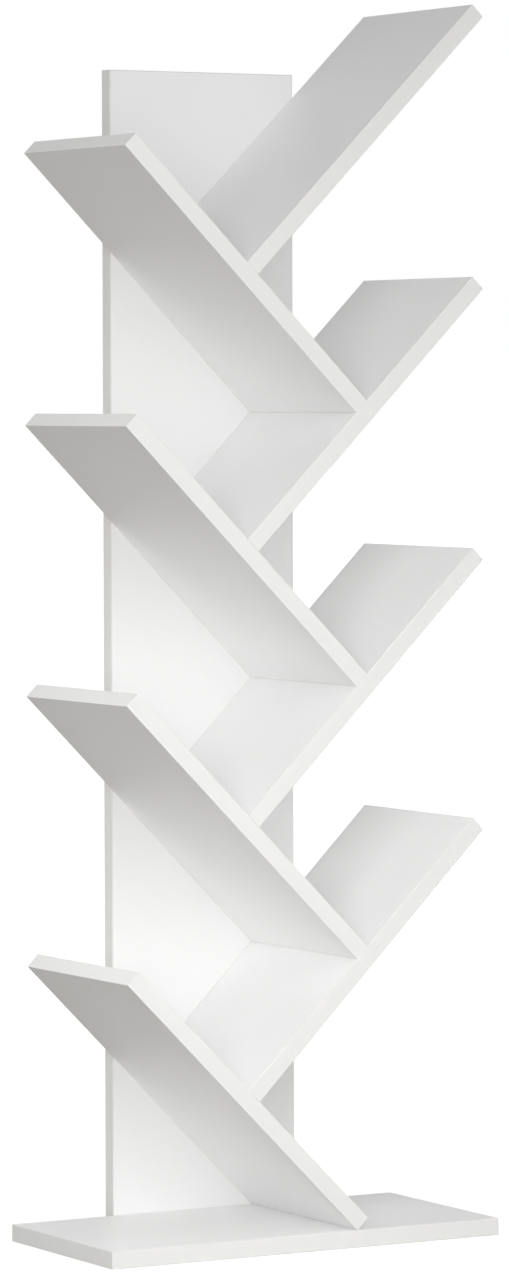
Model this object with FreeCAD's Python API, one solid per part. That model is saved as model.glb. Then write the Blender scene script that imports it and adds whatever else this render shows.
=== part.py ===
import FreeCAD, Part
import math
import os

from FreeCAD import Placement, Rotation, Vector

# A tree-shaped bookshelf: slanted branch boards on an upright trunk panel, over a flat base board.
# Millimetres, X to the right, Y to the back and Z up. The origin is on the floor, in the middle of
# the shelf's width and depth. The boards are melamine-faced chipboard, and the sides that stay in
# sight have edging glued on. The rear edges and the butt ends that other boards cover are left raw.

# Boards
board_thickness = 18.0
shelf_depth = 220.0  # of the branches and the base, from the front edge to the trunk
branch_length = 380.0  # of a left branch
branch_slope = 45.0  # degrees that a left branch falls towards its butt end
tier_count = 4  # each tier is one left and one right branch
trunk_width = 220.0
trunk_head = 24.0  # height of trunk above the point where the top branch leaves its side
base_length = 460.0

# Edging
edging_thickness = 0.8
edging_land = 0.3  # left square beside its bevelled outer corners

# Countersunk connector screws, from the trunk's rear into the boards' rear edges
screw_length = 50.0
screw_diameter = 7.0  # over the thread
screw_head_diameter = 10.0
screw_neck = 0.2  # ring left between the thread and the countersunk cone
screw_recess = 0.3  # of the head below the trunk's rear face
screw_socket_width = 4.0  # across the flats of the hexagon
screw_socket_depth = 3.4
screw_hole_spare = 2.0  # hole beyond the screw's end
screw_side_distance = 30.0  # from the trunk's side to the nearest screw
screw_butt_distance = 40.0  # from a branch's butt end to the nearest screw

# Dowels in the butt joints between branches
dowel_diameter = 8.0
dowel_length = 30.0
dowel_chamfer = 1.0
dowel_cover = 6.0  # board left under the bottom of a dowel's hole
dowel_hole_spare = 1.0  # hole beyond the dowel in the butt end
dowel_inset = 50.0  # from the boards' front and rear edges

# Rounds that stay hidden in the boards are drawn with this many flats, to keep the model light
hidden_sides = 12

# Worked out from the sizes above
slope = math.radians(branch_slope)
down_left_branch = Vector(math.cos(slope), 0, -math.sin(slope))  # towards its butt end
up_right_branch = Vector(math.sin(slope), 0, math.cos(slope))  # away from its butt end
tier_height = (branch_length + board_thickness) / (2 * math.sin(slope))
right_branch_length = 2 * tier_height * math.cos(slope) - board_thickness
shelf_front = -(shelf_depth + board_thickness) / 2
trunk_front = shelf_front + shelf_depth
trunk_rear = trunk_front + board_thickness
edging_bevel = edging_thickness - edging_land
screw_side = trunk_width / 2 - screw_side_distance
dowel_in_face = board_thickness - dowel_cover
dowel_in_end = dowel_length - dowel_in_face


def left_butt(tier):
    """The middle of a left branch's butt end, at the front of the shelf.

    The tree is centred on the trunk, and the lowest branch stands on the base with the bevelled
    corner of its edging.
    """
    x = (branch_length * math.cos(slope) - board_thickness * math.sin(slope)) / 4
    bevelled_off = edging_bevel * min(math.sin(slope), math.cos(slope))
    z = board_thickness * (1 + math.cos(slope) / 2) - bevelled_off + tier * tier_height
    return Vector(x, shelf_front, z)


def right_butt(tier):
    """The middle of a right branch's butt end, halfway along the left branch of its tier."""
    halfway = left_butt(tier) - down_left_branch * (branch_length / 2)
    return halfway + up_right_branch * (board_thickness / 2)


def trunk_height():
    """Up to the top branch's upper face at the trunk's side, and the trunk's head above it."""
    upper_edge = right_butt(tier_count - 1) - down_left_branch * (board_thickness / 2)
    run = (trunk_width / 2 - upper_edge.x) / up_right_branch.x
    return (upper_edge + up_right_branch * run).z + trunk_head


def edging_strip(length):
    """A strip along X, glued on at Y = 0, with its two outer corners bevelled."""
    outline = [
        (0, 0),
        (edging_land, 0),
        (edging_thickness, edging_bevel),
        (edging_thickness, board_thickness - edging_bevel),
        (edging_land, board_thickness),
        (0, board_thickness),
        (0, 0),
    ]
    section = Part.Face(Part.makePolygon([Vector(0, y, z) for y, z in outline]))
    return section.extrude(Vector(length, 0, 0))


def edged_board(length, depth, placement, edged):
    """A board along X with its front at Y = 0 and its lower face at Z = 0, then placed.

    Gives the chipboard and its strips of edging, on those of its four sides that are named. The
    end strips run the whole depth, and the front and rear strips fit between them.
    """
    band = {side: edging_thickness if side in edged else 0.0 for side in ("front", "rear", "near", "far")}
    start = Vector(band["near"], band["front"], 0)
    stop = Vector(length - band["far"], depth - band["rear"], board_thickness)
    size = stop - start
    chipboard = Part.makeBox(size.x, size.y, size.z, start)
    chipboard.Placement = placement
    glued = {
        "front": (size.x, Vector(stop.x, start.y, 0), 180),
        "rear": (size.x, Vector(start.x, stop.y, 0), 0),
        "near": (depth, Vector(start.x, 0, 0), 90),
        "far": (depth, Vector(stop.x, depth, 0), -90),
    }
    strips = []
    for side in edged:
        strip_length, corner, turn = glued[side]
        strip = edging_strip(strip_length)
        strip.Placement = placement * Placement(corner, Rotation(Vector(0, 0, 1), turn))
        strips.append(strip)
    return chipboard, strips


def regular_face(radius, sides, height):
    """A level face with equal sides about the Z axis, from the radius to its corners."""
    corner = Vector(radius, 0, height)
    turns = [Rotation(Vector(0, 0, 1), 360 * side / sides) for side in range(sides + 1)]
    return Part.Face(Part.makePolygon([turn.multVec(corner) for turn in turns]))


def hidden_rod(diameter, low, high):
    """A rod along Z between two heights, with flats in place of its round."""
    return regular_face(diameter / 2, hidden_sides, low).extrude(Vector(0, 0, high - low))


def screw():
    """A connector screw along Z, from the top of its head to its end, with a hexagon socket."""
    head = screw_head_diameter / 2
    neck = screw_diameter / 2 + screw_neck
    cone = Part.makeCone(head, neck, head - neck)
    thread = hidden_rod(screw_diameter, head - neck, screw_length)
    corner_radius = screw_socket_width / math.sqrt(3)
    socket = regular_face(corner_radius, 6, 0).extrude(Vector(0, 0, screw_socket_depth))
    return cone.fuse(thread).cut(socket).Solids[0]


def screw_hole():
    """A screw's countersunk hole along Z, from the trunk's rear face into the board in front."""
    mouth = screw_head_diameter / 2 + screw_recess
    neck = screw_diameter / 2 + screw_neck
    bottom = screw_recess + screw_length + screw_hole_spare
    countersink = Part.makeCone(mouth, neck, mouth - neck)
    return countersink.fuse(hidden_rod(screw_diameter, 0, bottom))


def dowel():
    """A dowel along Z, with the joint at Z = 0 and its upper end in the face of a board."""
    rod = hidden_rod(dowel_diameter, -dowel_in_end, dowel_in_face)
    middle = (dowel_in_face - dowel_in_end) / 2
    rims = [edge for edge in rod.Edges if abs(edge.CenterOfMass.z - middle) > dowel_length / 4]
    return rod.makeChamfer(dowel_chamfer, rims)


def dowel_hole():
    """The hole for a dowel in the butt end of one board and in the face of the other."""
    return hidden_rod(dowel_diameter, -dowel_in_end - dowel_hole_spare, dowel_in_face)


def copies(shape, placements):
    """A copy of a shape at each of the placements."""
    placed = []
    for placement in placements:
        duplicate = shape.copy()
        duplicate.Placement = placement
        placed.append(duplicate)
    return placed


def screw_places(points, recess):
    """Where screws start: this far below the trunk's rear face, pointing to the front."""
    forward = Rotation(Vector(1, 0, 0), 90)
    return [Placement(Vector(point.x, trunk_rear - recess, point.z), forward) for point in points]


def dowel_places(butt, direction):
    """Where a butt joint's two dowels stand, pointing into the face of the other board."""
    turn = Rotation(Vector(0, 0, 1), direction)
    depths = (dowel_inset, shelf_depth - dowel_inset)
    return [Placement(butt + Vector(0, depth, 0), turn) for depth in depths]


def export(node, solids):
    """Write one node, which is one solid or a group of like solids."""
    shape = solids[0] if len(solids) == 1 else Part.makeCompound(solids)
    shape.exportStep(os.path.join("parts", node + ".step"))


# The trunk, whose own length runs up from the floor, with its lower end left raw
upright = Rotation(Vector(0, 0, 1), Vector(1, 0, 0), Vector(0, 1, 0), "XYZ")
trunk_place = Placement(Vector(-trunk_width / 2, trunk_front, 0), upright)
boards = {"trunk_panel": edged_board(trunk_height(), trunk_width, trunk_place, ("front", "rear", "far"))}
screw_points = {}
dowel_joints = {}

# The base, in front of the trunk
base_place = Placement(Vector(-base_length / 2, shelf_front, 0), Rotation())
boards["base_board"] = edged_board(base_length, shelf_depth, base_place, ("front", "near", "far"))
screw_points["base_board"] = [Vector(x, 0, board_thickness / 2) for x in (-screw_side, 0, screw_side)]

# The branches, from the floor up: each one butts against the middle of the one below it
for tier in range(tier_count):
    left = "left_branch_%d" % (tier + 1)
    butt = left_butt(tier)
    corner = butt - down_left_branch * branch_length - up_right_branch * (board_thickness / 2)
    place = Placement(corner, Rotation(Vector(0, 1, 0), branch_slope))
    edged = ("front", "near", "far") if tier == 0 else ("front", "near")
    boards[left] = edged_board(branch_length, shelf_depth, place, edged)
    side_run = (butt.x + screw_side) / down_left_branch.x
    screw_points[left] = [butt - down_left_branch * run for run in (screw_butt_distance, side_run)]
    if tier > 0:
        dowel_joints[left] = ("right_branch_%d" % tier, dowel_places(butt, down_left_branch))

    right = "right_branch_%d" % (tier + 1)
    butt = right_butt(tier)
    corner = butt + down_left_branch * (board_thickness / 2)
    place = Placement(corner, Rotation(Vector(0, 1, 0), branch_slope - 90))
    boards[right] = edged_board(right_branch_length, shelf_depth, place, ("front", "far"))
    side_run = (screw_side - butt.x) / up_right_branch.x
    screw_points[right] = [butt + up_right_branch * run for run in (screw_butt_distance, side_run)]
    dowel_joints[right] = (left, dowel_places(butt, -up_right_branch))

# Every hole goes into both of the boards that its screw or dowel joins
holes = {name: [] for name in boards}
for name, points in screw_points.items():
    drilled = copies(screw_hole(), screw_places(points, 0))
    holes[name] += drilled
    holes["trunk_panel"] += drilled
for name, (carrier, places) in dowel_joints.items():
    drilled = copies(dowel_hole(), places)
    holes[name] += drilled
    holes[carrier] += drilled

os.makedirs("parts", exist_ok=True)
for name, (chipboard, strips) in boards.items():
    export(name, chipboard.cut(holes[name]).Solids)
    export(name + "_edging", strips)
for name, points in screw_points.items():
    export(name + "_screws", copies(screw(), screw_places(points, screw_recess)))
for name, (carrier, places) in dowel_joints.items():
    export(name + "_dowels", copies(dowel(), places))
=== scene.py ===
# A tree-shaped bookshelf in white melamine-faced chipboard: slanted branch boards on an upright
# trunk panel, over a flat base board. Metres, X to the right, Y to the back, Z up from the floor.
# Only the sizes of the patterns in the finishes are in millimetres.
import math

import bmesh
import bpy
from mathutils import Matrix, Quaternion, Vector


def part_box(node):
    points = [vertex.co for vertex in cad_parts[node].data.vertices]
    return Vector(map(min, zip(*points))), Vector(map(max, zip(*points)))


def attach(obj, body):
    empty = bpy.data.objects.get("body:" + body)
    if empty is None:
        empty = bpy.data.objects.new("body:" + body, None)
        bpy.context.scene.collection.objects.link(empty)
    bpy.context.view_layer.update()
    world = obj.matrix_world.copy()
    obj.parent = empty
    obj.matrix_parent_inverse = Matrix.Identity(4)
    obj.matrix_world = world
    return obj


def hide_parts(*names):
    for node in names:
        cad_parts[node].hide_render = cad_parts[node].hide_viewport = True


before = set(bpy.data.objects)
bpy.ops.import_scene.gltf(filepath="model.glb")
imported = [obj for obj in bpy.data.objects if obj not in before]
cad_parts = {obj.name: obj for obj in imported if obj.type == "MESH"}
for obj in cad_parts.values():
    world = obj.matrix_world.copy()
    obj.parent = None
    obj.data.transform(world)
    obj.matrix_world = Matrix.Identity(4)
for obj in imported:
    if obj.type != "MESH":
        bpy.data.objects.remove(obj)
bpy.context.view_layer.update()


# Trunk: one upright panel of 18 mm chipboard with a white melamine foil pressed on both faces, sawn
# to size and bored for the screws. It stands on its raw lower end and carries everything else.

def linear(colour):
    """The linear colour that Blender works in, from an sRGB hex value."""
    shares = [int(colour[i:i + 2], 16) / 255 for i in (1, 3, 5)]
    return [s / 12.92 if s <= 0.04045 else ((s + 0.055) / 1.055) ** 2.4 for s in shares] + [1.0]


def add_node(tree, kind, inputs=None, **settings):
    """A new node with its settings. An input is a value, or the nodes or outputs that feed it."""
    node = tree.nodes.new(kind)
    for name, value in settings.items():
        setattr(node, name, value)
    for socket, value in (inputs or {}).items():
        feeds = value if isinstance(value, list) else [value]
        feeds = [feed.outputs[0] if isinstance(feed, bpy.types.Node) else feed for feed in feeds]
        if isinstance(feeds[0], bpy.types.NodeSocket):
            for feed in feeds:
                tree.links.new(feed, node.inputs[socket])
        else:
            node.inputs[socket].default_value = value
    return node


def new_finish(name):
    """A material with an empty node tree."""
    finish = bpy.data.materials.new(name)
    finish.use_nodes = True
    finish.node_tree.nodes.clear()
    return finish, finish.node_tree


# White melamine, pressed against a pearl-textured plate: a quiet white with a soft satin sheen. The
# real pearl is about 0.4 mm wide, and is drawn at 1.5 mm so that it shows.
pearl_width = 1.5
cloud_width = 90.0
white_melamine, tree = new_finish("white_melamine")
place = add_node(tree, "ShaderNodeTexCoord").outputs["Object"]
pearl = add_node(tree, "ShaderNodeTexNoise", {"Vector": place, "Scale": 1000 / pearl_width, "Detail": 2.0})
cloud = add_node(tree, "ShaderNodeTexNoise", {"Vector": place, "Scale": 1000 / cloud_width, "Detail": 3.0})

# A Mix node has several sockets of one name, so they go by number: 0 is the share, 6 and 7 are the
# colours, which leave by output 2, and 2 and 3 are the numbers.
tone = add_node(tree, "ShaderNodeMix", {
    0: cloud,
    6: linear("#F6F6F6"),
    7: linear("#F9F9F9"),
}, data_type="RGBA")
sheen = add_node(tree, "ShaderNodeMapRange", {
    "Value": pearl,
    "From Min": 0.3,
    "From Max": 0.7,
    "To Min": 0.36,
    "To Max": 0.46,
})
relief = add_node(tree, "ShaderNodeBump", {"Strength": 0.25, "Distance": 0.00006, "Height": pearl})
surface = add_node(tree, "ShaderNodeBsdfPrincipled", {
    "Base Color": tone.outputs[2],
    "Roughness": sheen,
    "IOR": 1.5,
    "Normal": relief,
})
add_node(tree, "ShaderNodeOutputMaterial", {"Surface": surface})

# Raw chipboard, as the saw leaves it: dull, with flat chips of many pale browns, coarse in the middle
# of the board and fine in its outer layers, and the white line of the foil along both faces.
coarse_chip = (4.5, 4.5, 1.1)  # along, across and through the board
fine_chip = (1.4, 1.4, 0.4)
fine_layer = 0.0055  # from the middle of the board
layer_blend = 0.0012  # to either side of that, where the chips mix
near_face = 0.0089  # from the middle of the board, where the foil starts
raw_chipboard, tree = new_finish("raw_chipboard")
place = add_node(tree, "ShaderNodeAttribute", attribute_name="board_place").outputs["Vector"]
chips = []
for chip_size in (coarse_chip, fine_chip):
    counted = add_node(tree, "ShaderNodeVectorMath", {
        0: place,
        1: [1000 / size for size in chip_size],
    }, operation="MULTIPLY")
    chips.append(add_node(tree, "ShaderNodeTexVoronoi", {"Vector": counted, "Scale": 1.0}))
through = add_node(tree, "ShaderNodeSeparateXYZ", {0: place})
from_middle = add_node(tree, "ShaderNodeMath", {0: through.outputs[2]}, operation="ABSOLUTE")
outer = add_node(tree, "ShaderNodeMapRange", {
    "Value": from_middle,
    "From Min": fine_layer - layer_blend,
    "From Max": fine_layer + layer_blend,
})
chosen = add_node(tree, "ShaderNodeMix", {
    0: outer,
    6: chips[0].outputs["Color"],
    7: chips[1].outputs["Color"],
}, data_type="RGBA")
chip_tone = add_node(tree, "ShaderNodeValToRGB", {0: chosen.outputs[2]})
ramp = chip_tone.color_ramp.elements
ramp[0].color = linear("#9A7850")
ramp[1].color = linear("#E6D4B4")
for stop, colour in ((0.25, "#BC9B6E"), (0.5, "#CDB086"), (0.8, "#D8C09A")):
    ramp.new(stop).color = linear(colour)
foil = add_node(tree, "ShaderNodeMath", {0: from_middle, 1: near_face}, operation="GREATER_THAN")
faced = add_node(tree, "ShaderNodeMix", {0: foil, 6: chip_tone, 7: linear("#F4F4F3")}, data_type="RGBA")
depth = add_node(tree, "ShaderNodeMix", {
    0: outer,
    2: chips[0].outputs["Distance"],
    3: chips[1].outputs["Distance"],
})
relief = add_node(tree, "ShaderNodeBump", {
    "Strength": 0.5,
    "Distance": 0.0003,
    "Height": depth,
}, invert=True)
surface = add_node(tree, "ShaderNodeBsdfPrincipled", {
    "Base Color": faced.outputs[2],
    "Roughness": 0.85,
    "IOR": 1.5,
    "Normal": relief,
})
add_node(tree, "ShaderNodeOutputMaterial", {"Surface": surface})

right = Vector((1, 0, 0))
back = Vector((0, 1, 0))
up = Vector((0, 0, 1))
same_point = 1e-6


def copy_of_node(node):
    """A copy of a node's loose triangles, merged to one closed shape."""
    shape = bmesh.new()
    shape.from_mesh(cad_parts[node].data)
    bmesh.ops.remove_doubles(shape, verts=shape.verts, dist=same_point)
    return shape


def mark_places(shape, board, along, through):
    """Notes each point's place on its board: along, across and through it."""
    low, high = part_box(board)
    middle = (low + high) / 2
    board_place = shape.verts.layers.float_vector.new("board_place")
    for point in shape.verts:
        offset = point.co - middle
        point[board_place] = (offset.dot(along), offset.dot(through.cross(along)), offset.dot(through))
    return board_place


def add_piece(name, shape, finishes):
    """A new object at the origin from a shape that is already in its place."""
    mesh = bpy.data.meshes.new(name)
    shape.to_mesh(mesh)
    shape.free()
    for finish in finishes:
        mesh.materials.append(finish)
    piece = bpy.data.objects.new(name, mesh)
    bpy.context.scene.collection.objects.link(piece)
    return piece


broken_corner = 0.0004
on_the_cut = 1e-7


def break_corner(shape, way):
    """Cuts a little off the corner that reaches furthest that way, and closes the cut."""
    reach = max(point.co.dot(way) for point in shape.verts)
    cut = bmesh.ops.bisect_plane(
        shape,
        geom=shape.verts[:] + shape.edges[:] + shape.faces[:],
        dist=on_the_cut,
        plane_co=way * (reach - broken_corner / math.sqrt(2)),
        plane_no=way,
        clear_outer=True,
    )
    rim = [part for part in cut["geom_cut"] if isinstance(part, bmesh.types.BMEdge)]
    bmesh.ops.edgeloop_fill(shape, edges=rim)
    for edge in rim:
        edge.smooth = False


parallel = 0.999  # the least cosine


def faced_board(node, along, through, raw_ways):
    """A board with melamine on both faces, and raw chipboard in its holes and at its cut edges. Where
    an edge faces one of the raw ways, the saw has broken its corners, so a joint there shows a line."""
    shape = copy_of_node(node)
    for way in raw_ways:
        break_corner(shape, (way + through).normalized())
        break_corner(shape, (way - through).normalized())
    bmesh.ops.recalc_face_normals(shape, faces=shape.faces)
    board_place = mark_places(shape, node, along, through)
    for face in shape.faces:
        level = abs(face.normal.dot(through)) > parallel
        outside = max(abs(point[board_place].z) for point in face.verts) > near_face
        face.material_index = 0 if level and outside else 1
    piece = add_piece(node + "_board", shape, [white_melamine, raw_chipboard])
    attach(piece, "root")
    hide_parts(node)


board_lines = {"trunk_panel": (up, back)}  # the way that each board runs, and the way through it
faced_board("trunk_panel", *board_lines["trunk_panel"], [-up])


# Base board: the same board lying flat on the floor in front of the trunk, and screwed to it by its raw
# rear edge. It is the foot that keeps the tree upright.

board_lines["base_board"] = (right, up)
faced_board("base_board", *board_lines["base_board"], [back])


# Branches: eight boards, four falling to the right and four rising to the right, sawn square and
# screwed to the trunk by their raw rear edges. Each butts against the middle of the one below, but the
# lowest stands on the base, and has edging at its foot too.

falling = (right - up).normalized()
rising = (right + up).normalized()
tiers = (1, 2, 3, 4)
for tier in tiers:
    branch = f"left_branch_{tier}"
    board_lines[branch] = (falling, rising)
    faced_board(branch, falling, rising, [back] if tier == 1 else [back, falling])
    branch = f"right_branch_{tier}"
    board_lines[branch] = (rising, -falling)
    faced_board(branch, rising, -falling, [back, -rising])


# Edging: strips of 0.8 mm ABS, glued on by heat along the edges that stay in sight, then trimmed flush
# with the boards' faces, with their corners just rounded.

# White ABS, extruded and trimmed by a cutter: a plainer and duller white than the faces, with fine
# lines along the strip. The glue shows as a faint grey line on the trimmed lands beside the faces.
trim_line = (400.0, 400.0, 0.9)  # along, across and through the board
white_abs, tree = new_finish("white_abs")
place = add_node(tree, "ShaderNodeAttribute", attribute_name="board_place").outputs["Vector"]
counted = add_node(tree, "ShaderNodeVectorMath", {
    0: place,
    1: [1000 / size for size in trim_line],
}, operation="MULTIPLY")
lines = add_node(tree, "ShaderNodeTexNoise", {"Vector": counted, "Scale": 1.0, "Detail": 3.0})
tone = add_node(tree, "ShaderNodeMix", {
    0: lines,
    6: linear("#F5F5F4"),
    7: linear("#F9F9F8"),
}, data_type="RGBA")
through = add_node(tree, "ShaderNodeSeparateXYZ", {0: place})
from_middle = add_node(tree, "ShaderNodeMath", {0: through.outputs[2]}, operation="ABSOLUTE")
glue = add_node(tree, "ShaderNodeMath", {0: from_middle, 1: near_face}, operation="GREATER_THAN")
seamed = add_node(tree, "ShaderNodeMix", {
    0: glue,
    6: tone.outputs[2],
    7: linear("#DDDCDA"),
}, data_type="RGBA")
sheen = add_node(tree, "ShaderNodeMapRange", {
    "Value": lines,
    "From Min": 0.3,
    "From Max": 0.7,
    "To Min": 0.42,
    "To Max": 0.56,
})
relief = add_node(tree, "ShaderNodeBump", {"Strength": 0.12, "Distance": 0.00005, "Height": lines})
surface = add_node(tree, "ShaderNodeBsdfPrincipled", {
    "Base Color": seamed.outputs[2],
    "Roughness": sheen,
    "IOR": 1.53,
    "Normal": relief,
})
add_node(tree, "ShaderNodeOutputMaterial", {"Surface": surface})

corner_round = 0.00012
flat_fold = 0.001  # in radians, between the triangles of one side
for board, (along, through) in board_lines.items():
    shape = copy_of_node(board + "_edging")
    bmesh.ops.dissolve_limit(shape, angle_limit=flat_fold, verts=shape.verts, edges=shape.edges)
    mark_places(shape, board, along, through)
    piece = add_piece(board + "_strips", shape, [white_abs])
    rounding = piece.modifiers.new("trimmed_corners", "BEVEL")
    rounding.width = corner_round
    rounding.segments = 2
    rounding.limit_method = "ANGLE"
    rounding.angle_limit = math.radians(30)
    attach(piece, "root")
    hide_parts(board + "_edging")


# Dowels: two of turned and fluted beech in each butt joint between branches, glued into the end of
# one board and the face of the other. They keep the joint in line and stay out of sight.

# Beech, turned and left bare: a dull pinkish tan with fine streaks of grain along the dowel.
beech_grain = (0.7, 0.7, 14.0)  # across the dowel both ways, and along it
beech, tree = new_finish("turned_beech")
place = add_node(tree, "ShaderNodeAttribute", attribute_name="dowel_place").outputs["Vector"]
counted = add_node(tree, "ShaderNodeVectorMath", {
    0: place,
    1: [1000 / size for size in beech_grain],
}, operation="MULTIPLY")
grain = add_node(tree, "ShaderNodeTexNoise", {"Vector": counted, "Scale": 1.0, "Detail": 4.0})
tone = add_node(tree, "ShaderNodeMix", {
    0: grain,
    6: linear("#C29A6B"),
    7: linear("#E0C097"),
}, data_type="RGBA")
relief = add_node(tree, "ShaderNodeBump", {"Strength": 0.3, "Distance": 0.0001, "Height": grain})
surface = add_node(tree, "ShaderNodeBsdfPrincipled", {
    "Base Color": tone.outputs[2],
    "Roughness": 0.65,
    "IOR": 1.5,
    "Normal": relief,
})
add_node(tree, "ShaderNodeOutputMaterial", {"Surface": surface})


def new_maker(name, sizes):
    """A geometry tree that makes pieces at points, with a named input for each of the sizes."""
    maker = bpy.data.node_groups.new(name, "GeometryNodeTree")
    maker.interface.new_socket("Points", in_out="INPUT", socket_type="NodeSocketGeometry")
    for label, (kind, size) in sizes.items():
        socket = maker.interface.new_socket(label, in_out="INPUT", socket_type="NodeSocket" + kind)
        socket.default_value = size
    maker.interface.new_socket("Pieces", in_out="OUTPUT", socket_type="NodeSocketGeometry")
    return maker, add_node(maker, "NodeGroupInput").outputs


def made_pieces(name, maker, sizes, points, axes, finish):
    """One plain mesh from a geometry tree, with a piece at each point and along its axis."""
    shape = bmesh.new()
    axis_layer = shape.verts.layers.float_vector.new("axis")
    for point, axis in zip(points, axes):
        shape.verts.new(point)[axis_layer] = axis
    start = add_piece(name + "_points", shape, [])
    making = start.modifiers.new("making", "NODES")
    making.node_group = maker
    for socket in maker.interface.items_tree:
        if socket.name in sizes:
            making[socket.identifier] = sizes[socket.name][1]
    made = start.evaluated_get(bpy.context.evaluated_depsgraph_get())
    mesh = bpy.data.meshes.new_from_object(made)
    mesh.name = name
    mesh.materials.clear()  # the nodes leave an empty slot before the finish
    mesh.materials.append(finish)
    for face in mesh.polygons:
        face.material_index = 0
    start.modifiers.remove(making)
    bpy.data.objects.remove(start)
    piece = bpy.data.objects.new(name, mesh)
    bpy.context.scene.collection.objects.link(piece)
    return piece


dowel_sizes = {
    "Diameter": ("Float", 0.0077),
    "Length": ("Float", 0.030),
    "Chamfer": ("Float", 0.001),
    "Flute Depth": ("Float", 0.0003),
    "Flutes": ("Int", 18),
    "Wood": ("Material", beech),
}
dowels, given = new_maker("fluted_dowels", dowel_sizes)
radius = add_node(dowels, "ShaderNodeMath", {0: given["Diameter"], 1: 0.5}, operation="MULTIPLY")
half = add_node(dowels, "ShaderNodeMath", {0: given["Length"], 1: 0.5}, operation="MULTIPLY")
corners = add_node(dowels, "ShaderNodeMath", {0: given["Flutes"], 1: 2.0}, operation="MULTIPLY")
rod = add_node(dowels, "GeometryNodeMeshCylinder", {
    "Vertices": corners,
    "Side Segments": 3,  # a chamfer, the fluted run and a chamfer
    "Radius": radius,
    "Depth": given["Length"],
}, fill_type="NGON")

# Its end rims are drawn in for the chamfers, and every other point between them for the flutes
past_inner_rims = 0.4  # of the length, from the middle
spot = add_node(dowels, "GeometryNodeInputPosition")
sides = add_node(dowels, "ShaderNodeSeparateXYZ", {0: spot}).outputs
height = add_node(dowels, "ShaderNodeMath", {0: sides[2]}, operation="ABSOLUTE")
near_end = add_node(dowels, "ShaderNodeMath", {
    0: given["Length"],
    1: past_inner_rims,
}, operation="MULTIPLY")
at_end = add_node(dowels, "ShaderNodeMath", {0: height, 1: near_end}, operation="GREATER_THAN")
number = add_node(dowels, "GeometryNodeInputIndex")
odd = add_node(dowels, "ShaderNodeMath", {0: number, 1: 2.0}, operation="MODULO")
flute = add_node(dowels, "ShaderNodeMath", {0: odd, 1: given["Flute Depth"]}, operation="MULTIPLY")
taken_off = add_node(dowels, "ShaderNodeMix", {0: at_end, 2: flute, 3: given["Chamfer"]})
share = add_node(dowels, "ShaderNodeMath", {0: taken_off, 1: radius}, operation="DIVIDE")
kept = add_node(dowels, "ShaderNodeMath", {0: 1.0, 1: share}, operation="SUBTRACT")
shoulder = add_node(dowels, "ShaderNodeMath", {0: half, 1: given["Chamfer"]}, operation="SUBTRACT")
reach = add_node(dowels, "ShaderNodeMix", {0: at_end, 2: shoulder, 3: half})
end = add_node(dowels, "ShaderNodeMath", {0: sides[2]}, operation="SIGN")
new_spot = add_node(dowels, "ShaderNodeCombineXYZ", {
    0: add_node(dowels, "ShaderNodeMath", {0: sides[0], 1: kept}, operation="MULTIPLY"),
    1: add_node(dowels, "ShaderNodeMath", {0: sides[1], 1: kept}, operation="MULTIPLY"),
    2: add_node(dowels, "ShaderNodeMath", {0: reach, 1: end}, operation="MULTIPLY"),
})
fluted = add_node(dowels, "GeometryNodeSetPosition", {"Geometry": rod, "Position": new_spot})
marked = add_node(dowels, "GeometryNodeStoreNamedAttribute", {
    "Geometry": fluted,
    "Name": "dowel_place",
    "Value": spot,
}, data_type="FLOAT_VECTOR", domain="POINT")
axis = add_node(dowels, "GeometryNodeInputNamedAttribute", {"Name": "axis"}, data_type="FLOAT_VECTOR")
aimed = add_node(dowels, "FunctionNodeAlignRotationToVector", {"Vector": axis}, axis="Z")
placed = add_node(dowels, "GeometryNodeInstanceOnPoints", {
    "Points": given["Points"],
    "Instance": marked,
    "Rotation": aimed,
})
real = add_node(dowels, "GeometryNodeRealizeInstances", {0: placed})
wooden = add_node(dowels, "GeometryNodeSetMaterial", {"Geometry": real, "Material": given["Wood"]})
add_node(dowels, "NodeGroupOutput", {0: wooden})

hole_radius = 0.004  # which the CAD dowels fill
dowel_nodes = [f"right_branch_{tier}_dowels" for tier in tiers]
dowel_nodes += [f"left_branch_{tier}_dowels" for tier in tiers[1:]]
dowel_middles = []
dowel_axes = []
for node in dowel_nodes:
    low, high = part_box(node)
    middle = (low + high) / 2
    for depth in (low.y + hole_radius, high.y - hole_radius):
        dowel_middles.append((middle.x, depth, middle.z))
        dowel_axes.append(falling if node.startswith("left") else rising)
piece = made_pieces("dowels", dowels, dowel_sizes, dowel_middles, dowel_axes, beech)
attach(piece, "root")
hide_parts(*dowel_nodes)


# Connector screws: 7 by 50 mm, countersunk, of zinc-plated steel with a hexagon socket and a coarse
# rolled thread. They go through the trunk from behind into the boards' rear edges, heads just sunk.

# Bright zinc plate on turned steel: a cool grey metal with a faint bloom, and rings from the turning.
# The rings are about 0.1 mm apart, and are drawn at 0.35 mm so that they show.
turning_mark = 0.35
bloom_width = 3.0
zinc_plate, tree = new_finish("bright_zinc_plate")
place = add_node(tree, "ShaderNodeAttribute", attribute_name="screw_place").outputs["Vector"]
sides = add_node(tree, "ShaderNodeSeparateXYZ", {0: place}).outputs
level = add_node(tree, "ShaderNodeCombineXYZ", {0: sides[0], 1: sides[1]})
outward = add_node(tree, "ShaderNodeVectorMath", {0: level}, operation="LENGTH").outputs["Value"]
along_cut = add_node(tree, "ShaderNodeMath", {0: outward, 1: sides[2]}, operation="ADD")
mark = add_node(tree, "ShaderNodeMath", {0: along_cut, 1: 1000 / turning_mark}, operation="MULTIPLY")
rings = add_node(tree, "ShaderNodeTexNoise", {
    "W": mark,
    "Scale": 1.0,
    "Detail": 2.0,
}, noise_dimensions="1D")
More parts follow.
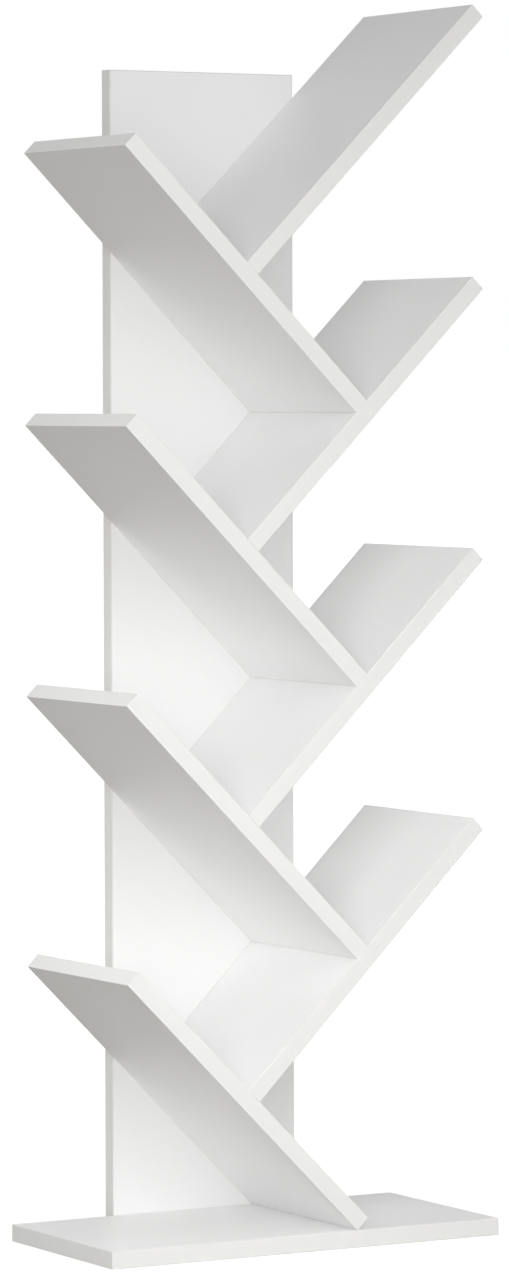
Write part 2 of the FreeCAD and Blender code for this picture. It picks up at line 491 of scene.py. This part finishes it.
bloom = add_node(tree, "ShaderNodeTexNoise", {"Vector": place, "Scale": 1000 / bloom_width, "Detail": 3.0})
tone = add_node(tree, "ShaderNodeMix", {
    0: bloom,
    6: linear("#AEB4BA"),
    7: linear("#D0D4D6"),
}, data_type="RGBA")
sheen = add_node(tree, "ShaderNodeMapRange", {
    "Value": rings,
    "From Min": 0.3,
    "From Max": 0.7,
    "To Min": 0.22,
    "To Max": 0.4,
})
relief = add_node(tree, "ShaderNodeBump", {"Strength": 0.2, "Distance": 0.00003, "Height": rings})
surface = add_node(tree, "ShaderNodeBsdfPrincipled", {
    "Base Color": tone.outputs[2],
    "Metallic": 1.0,
    "Roughness": sheen,
    "Normal": relief,
})
add_node(tree, "ShaderNodeOutputMaterial", {"Surface": surface})

screw_sizes = {
    "Head Diameter": ("Float", 0.010),
    "Shank Diameter": ("Float", 0.0066),
    "Core Diameter": ("Float", 0.0048),
    "Thread Pitch": ("Float", 0.003),
    "Shank Length": ("Float", 0.014),
    "Length": ("Float", 0.050),
    "Socket Width": ("Float", 0.004),
    "Socket Depth": ("Float", 0.0034),
    "Seed": ("Int", 7),
    "Metal": ("Material", zinc_plate),
}
flats = 32  # round the turned body
screws, given = new_maker("connector_screws", screw_sizes)
head = add_node(screws, "ShaderNodeMath", {0: given["Head Diameter"], 1: 0.5}, operation="MULTIPLY")
shank = add_node(screws, "ShaderNodeMath", {0: given["Shank Diameter"], 1: 0.5}, operation="MULTIPLY")
core = add_node(screws, "ShaderNodeMath", {0: given["Core Diameter"], 1: 0.5}, operation="MULTIPLY")
tip = add_node(screws, "ShaderNodeMath", {0: core, 1: 0.5}, operation="MULTIPLY")
cone_end = add_node(screws, "ShaderNodeMath", {0: head, 1: shank}, operation="SUBTRACT")
taper = add_node(screws, "ShaderNodeMath", {0: shank, 1: core}, operation="SUBTRACT")
core_start = add_node(screws, "ShaderNodeMath", {0: given["Shank Length"], 1: taper}, operation="ADD")
core_end = add_node(screws, "ShaderNodeMath", {0: given["Length"], 1: core}, operation="SUBTRACT")
thread_run = add_node(screws, "ShaderNodeMath", {0: core_end, 1: core_start}, operation="SUBTRACT")

# The head's flat top, with the hexagon socket sunk in it
socket_sides = 6
corner_share = 1 / math.sqrt(3)  # from a hexagon's middle to a corner, of its width over the flats
corner = add_node(screws, "ShaderNodeMath", {
    0: given["Socket Width"],
    1: corner_share,
}, operation="MULTIPLY")
rim = add_node(screws, "GeometryNodeCurvePrimitiveCircle", {"Resolution": flats, "Radius": head})
mouth = add_node(screws, "GeometryNodeCurvePrimitiveCircle", {"Resolution": socket_sides, "Radius": corner})
outlines = add_node(screws, "GeometryNodeJoinGeometry", {0: [rim, mouth]})
head_top = add_node(screws, "GeometryNodeFillCurve", {0: outlines}, mode="TRIANGLES")
wall = add_node(screws, "GeometryNodeMeshCylinder", {
    "Vertices": socket_sides,
    "Radius": corner,
    "Depth": given["Socket Depth"],
}, fill_type="NONE")
half_socket = add_node(screws, "ShaderNodeMath", {0: given["Socket Depth"], 1: 0.5}, operation="MULTIPLY")
wall_place = add_node(screws, "ShaderNodeCombineXYZ", {2: half_socket})
walls = add_node(screws, "GeometryNodeTransform", {0: wall, "Translation": wall_place})
hexagon = add_node(screws, "GeometryNodeMeshCircle", {
    "Vertices": socket_sides,
    "Radius": corner,
}, fill_type="NGON")
bottom_place = add_node(screws, "ShaderNodeCombineXYZ", {2: given["Socket Depth"]})
bottom = add_node(screws, "GeometryNodeTransform", {0: hexagon, "Translation": bottom_place})
facing_in = add_node(screws, "GeometryNodeJoinGeometry", {0: [head_top, walls, bottom]})
facing_out = add_node(screws, "GeometryNodeFlipFaces", {0: facing_in})

# The turned body, one stretch after another: countersunk head, shank, taper, core and blunt tip
same_rim = 0.000005
stretches = []
for wide, narrow, begin, end in (
    (head, shank, 0.0, cone_end),
    (shank, shank, cone_end, given["Shank Length"]),
    (shank, core, given["Shank Length"], core_start),
    (core, core, core_start, core_end),
    (core, tip, core_end, given["Length"]),
):
    run = add_node(screws, "ShaderNodeMath", {0: end, 1: begin}, operation="SUBTRACT")
    stretch = add_node(screws, "GeometryNodeMeshCone", {
        "Vertices": flats,
        "Radius Bottom": wide,
        "Radius Top": narrow,
        "Depth": run,
    }, fill_type="NONE")
    lift = add_node(screws, "ShaderNodeCombineXYZ", {2: begin})
    stretches.append(add_node(screws, "GeometryNodeTransform", {0: stretch, "Translation": lift}))
disc = add_node(screws, "GeometryNodeMeshCircle", {"Vertices": flats, "Radius": tip}, fill_type="NGON")
disc_place = add_node(screws, "ShaderNodeCombineXYZ", {2: given["Length"]})
stretches.append(add_node(screws, "GeometryNodeTransform", {0: disc, "Translation": disc_place}))
turned = add_node(screws, "GeometryNodeJoinGeometry", {0: stretches + [facing_out]})
body = add_node(screws, "GeometryNodeMergeByDistance", {0: turned, "Distance": same_rim})

# The rolled thread, a ridge that winds along the core
steps_per_turn = 24
ridge_sides = 3
turns = add_node(screws, "ShaderNodeMath", {0: thread_run, 1: given["Thread Pitch"]}, operation="DIVIDE")
winding = add_node(screws, "GeometryNodeCurveSpiral", {
    "Resolution": steps_per_turn,
    "Rotations": turns,
    "Start Radius": core,
    "End Radius": core,
    "Height": thread_run,
})
upright = add_node(screws, "GeometryNodeSetCurveNormal", {0: winding}, mode="Z_UP")
ridge = add_node(screws, "GeometryNodeCurvePrimitiveCircle", {"Resolution": ridge_sides, "Radius": taper})
thread = add_node(screws, "GeometryNodeCurveToMesh", {
    "Curve": upright,
    "Profile Curve": ridge,
    "Fill Caps": True,
})
thread_place = add_node(screws, "ShaderNodeCombineXYZ", {2: core_start})
threaded = add_node(screws, "GeometryNodeTransform", {0: thread, "Translation": thread_place})
whole = add_node(screws, "GeometryNodeJoinGeometry", {0: [body, threaded]})

# Rounds are shaded smooth up to the sharp corners, and each screw is left at its own turn
sharp_fold = 0.5  # in radians
fold = add_node(screws, "GeometryNodeInputMeshEdgeAngle")
crease = add_node(screws, "ShaderNodeMath", {0: fold, 1: sharp_fold}, operation="GREATER_THAN")
smooth = add_node(screws, "GeometryNodeSetShadeSmooth", {0: whole, "Shade Smooth": True}, domain="FACE")
creased = add_node(screws, "GeometryNodeSetShadeSmooth", {
    0: smooth,
    "Selection": crease,
    "Shade Smooth": False,
}, domain="EDGE")
spot = add_node(screws, "GeometryNodeInputPosition")
marked = add_node(screws, "GeometryNodeStoreNamedAttribute", {
    "Geometry": creased,
    "Name": "screw_place",
    "Value": spot,
}, data_type="FLOAT_VECTOR", domain="POINT")
axis = add_node(screws, "GeometryNodeInputNamedAttribute", {"Name": "axis"}, data_type="FLOAT_VECTOR")
aimed = add_node(screws, "FunctionNodeAlignRotationToVector", {"Vector": axis}, axis="Z")
driven = add_node(screws, "FunctionNodeRandomValue", {
    2: 0.0,  # the least turn
    3: 2 * math.pi / socket_sides,  # the most
    "Seed": given["Seed"],
}, data_type="FLOAT")
spin = add_node(screws, "ShaderNodeCombineXYZ", {2: driven.outputs[1]})
spun = add_node(screws, "FunctionNodeRotateRotation", {
    "Rotation": aimed,
    "Rotate By": spin,
}, rotation_space="LOCAL")
placed = add_node(screws, "GeometryNodeInstanceOnPoints", {
    "Points": given["Points"],
    "Instance": marked,
    "Rotation": spun,
})
real = add_node(screws, "GeometryNodeRealizeInstances", {0: placed})
plated = add_node(screws, "GeometryNodeSetMaterial", {"Geometry": real, "Material": given["Metal"]})
add_node(screws, "NodeGroupOutput", {0: plated})

screw_nodes = [board + "_screws" for board in board_lines if board != "trunk_panel"]
screw_heads = []
head_radius = screw_sizes["Head Diameter"][1] / 2
for node in screw_nodes:
    low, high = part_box(node)
    near = low.x + head_radius
    far = high.x - head_radius
    below = low.z + head_radius
    above = high.z - head_radius
    if node.startswith("base"):
        spots = [(near, below), ((near + far) / 2, below), (far, below)]
    elif node.startswith("left"):
        spots = [(near, above), (far, below)]
    else:
        spots = [(near, below), (far, above)]
    screw_heads += [(x, high.y, z) for x, z in spots]
to_the_front = [-back] * len(screw_heads)
piece = made_pieces("screws", screws, screw_sizes, screw_heads, to_the_front, zinc_plate)
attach(piece, "root")
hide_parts(*screw_nodes)


# Floor: a plain white studio floor that reaches far past the shelf on all sides. It glows white to the
# camera only, and throws little light back at the shelf. Its glow is dimmed close to the shelf, which is
# painted shade around the shelf's foot, where the floor's real shadow also shows.

floor_radius = 60.0
floor_sides = 64
under_shelf = 0.3  # from the shelf's middle
clear_of_shelf = 2.5
# the glow at the shelf's foot, weaker than far off: painted shade around the foot
painted_shade_glow_at_shelf = 0.8
studio_white, tree = new_finish("studio_white")
place = add_node(tree, "ShaderNodeTexCoord").outputs["Object"]
away = add_node(tree, "ShaderNodeVectorMath", {0: place}, operation="LENGTH").outputs["Value"]
# The camera's glow, dimmed close to the shelf: painted shade around the shelf's foot
glow_with_painted_shade = add_node(tree, "ShaderNodeMapRange", {
    "Value": away,
    "From Min": under_shelf,
    "From Max": clear_of_shelf,
    "To Min": painted_shade_glow_at_shelf,
    "To Max": 1.0,
})
seen = add_node(tree, "ShaderNodeLightPath").outputs["Is Camera Ray"]
glow = add_node(tree, "ShaderNodeMath", {0: glow_with_painted_shade, 1: seen}, operation="MULTIPLY")
white = add_node(tree, "ShaderNodeEmission", {"Color": linear("#FFFFFF"), "Strength": glow})
matte = add_node(tree, "ShaderNodeBsdfDiffuse", {"Color": linear("#ACAAA5")})
both = add_node(tree, "ShaderNodeAddShader", {0: white, 1: matte})
add_node(tree, "ShaderNodeOutputMaterial", {"Surface": both})
shape = bmesh.new()
bmesh.ops.create_circle(shape, cap_ends=True, segments=floor_sides, radius=floor_radius)
floor = add_piece("floor", shape, [studio_white])


# Light: two softboxes on the camera's side, a white wall on the right and a backdrop behind, and small
# gridded boxes on the left and at the foot. The room itself is white, and dim beside the lamps.

def softbox(name, turn, distance, height, aim, size, watts, spread=180):
    """A soft lamp that stands a turn in degrees from the shelf's front, aimed at a height on its axis."""
    glow = bpy.data.lights.new(name, "AREA")
    glow.shape = "RECTANGLE"
    glow.size, glow.size_y = size
    glow.energy = watts
    glow.spread = math.radians(spread)
    box = bpy.data.objects.new(name, glow)
    bpy.context.scene.collection.objects.link(box)
    side = math.radians(turn)
    box.location = (math.sin(side) * distance, -math.cos(side) * distance, height)
    box.rotation_mode = "QUATERNION"
    box.rotation_quaternion = (Vector((0, 0, aim)) - box.location).to_track_quat("-Z", "Y")


softbox("key", turn=-35, distance=2.6, height=1.2, aim=0.6, size=(2.0, 2.0), watts=24.7)
softbox("front", turn=0, distance=3.0, height=1.1, aim=0.6, size=(2.0, 2.0), watts=15.5)
softbox("white_wall", turn=90, distance=2.6, height=1.3, aim=1.3, size=(3.0, 2.4), watts=12.7)
softbox("backdrop", turn=180, distance=2.6, height=1.2, aim=1.2, size=(2.2, 2.4), watts=13.3)
softbox("left", turn=-90, distance=2.2, height=1.0, aim=0.75, size=(0.8, 0.8), watts=0.226, spread=40)
softbox("low_left", turn=-90, distance=1.3, height=0.45, aim=0.35, size=(1.0, 0.2), watts=0.183, spread=60)
softbox("foot_front", turn=-40, distance=2.5, height=0.8, aim=0.1, size=(0.8, 0.8), watts=0.591, spread=40)
softbox("foot_left", turn=-35, distance=1.6, height=2.2, aim=0.1, size=(0.6, 0.6), watts=0.422, spread=45)
softbox("foot_right", turn=40, distance=1.4, height=2.0, aim=0.05, size=(0.5, 0.5), watts=0.183, spread=30)

room_light = 0.385
studio = bpy.data.worlds.new("studio")
studio.use_nodes = True
studio.node_tree.nodes.clear()
tree = studio.node_tree
dim = add_node(tree, "ShaderNodeBackground", {"Color": linear("#FFFFFF"), "Strength": room_light})
white = add_node(tree, "ShaderNodeBackground", {"Color": linear("#FFFFFF"), "Strength": 1.0})
seen = add_node(tree, "ShaderNodeLightPath").outputs["Is Camera Ray"]
room = add_node(tree, "ShaderNodeMixShader", {0: seen, 1: dim, 2: white})
add_node(tree, "ShaderNodeOutputWorld", {"Surface": room})
bpy.context.scene.world = studio
bpy.context.scene.view_settings.view_transform = "Standard"


# Camera: at the photograph's angle, from the left and slightly above, with a long lens. Its place, turn
# and lens were fitted to the boards' edges in the photograph.

camera_place = Vector((-2.890979, -5.076277, 0.881660))
camera_turn = math.radians(29.702)
camera_dip = math.radians(2.497)
camera_roll = math.radians(-0.129)
lens = bpy.data.cameras.new("camera")
lens.lens = 158.26
lens.sensor_width = 36.0
lens.clip_end = 200.0
camera = bpy.data.objects.new("camera", lens)
bpy.context.scene.collection.objects.link(camera)
camera.location = camera_place
forward = Vector((
    math.sin(camera_turn) * math.cos(camera_dip),
    math.cos(camera_turn) * math.cos(camera_dip),
    -math.sin(camera_dip),
))
camera.rotation_mode = "QUATERNION"
camera.rotation_quaternion = forward.to_track_quat("-Z", "Y") @ Quaternion((0, 0, 1), camera_roll)
bpy.context.scene.camera = camera
